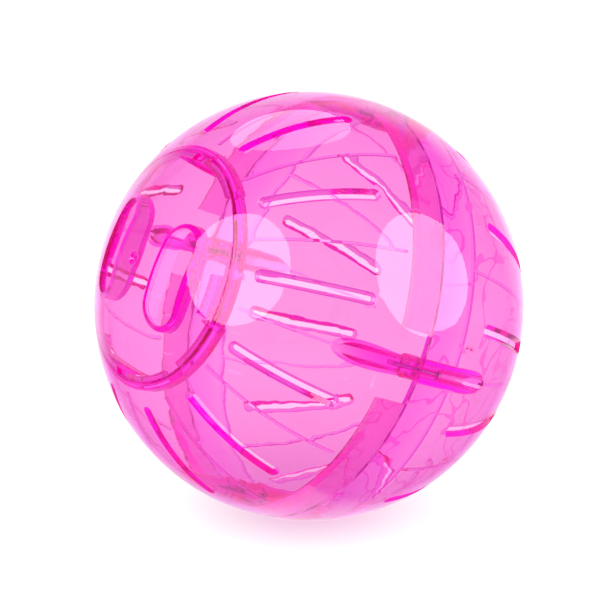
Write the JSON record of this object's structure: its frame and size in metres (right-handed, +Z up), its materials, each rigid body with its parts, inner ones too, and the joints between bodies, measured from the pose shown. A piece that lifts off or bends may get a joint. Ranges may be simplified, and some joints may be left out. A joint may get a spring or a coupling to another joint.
{
  "type": "hamster exercise ball",
  "caption": "Clear moulded exercise ball for a hamster, in two screwed half shells with air slots and a round twist-off door with two finger pockets.",
  "frame": {"origin": "centre of the ball", "axes": "+Z up while the ball stands on the open channel of its lowest screw, -Y towards the door's side, +X towards the screw boss beside the door"},
  "size_m": [0.18, 0.18, 0.18],
  "materials": {
    "shell_plastic": "clear tinted plastic, polished",
    "door_plastic": "clear tinted plastic, polished",
    "screw_steel": "bright zinc plating"
  },
  "bodies": {
    "ball": {"front_shell": "shell_plastic", "back_shell": "shell_plastic", "screws": "screw_steel"},
    "door": {"door": "door_plastic"}
  },
  "joints": [
    {"name": "door_twist", "type": "hinge", "parent": "ball", "child": "door", "pos_m": [0, 0, 0], "axis": [0, -0.9178, 0.3971], "range_deg": [0, 42]}
  ]
}
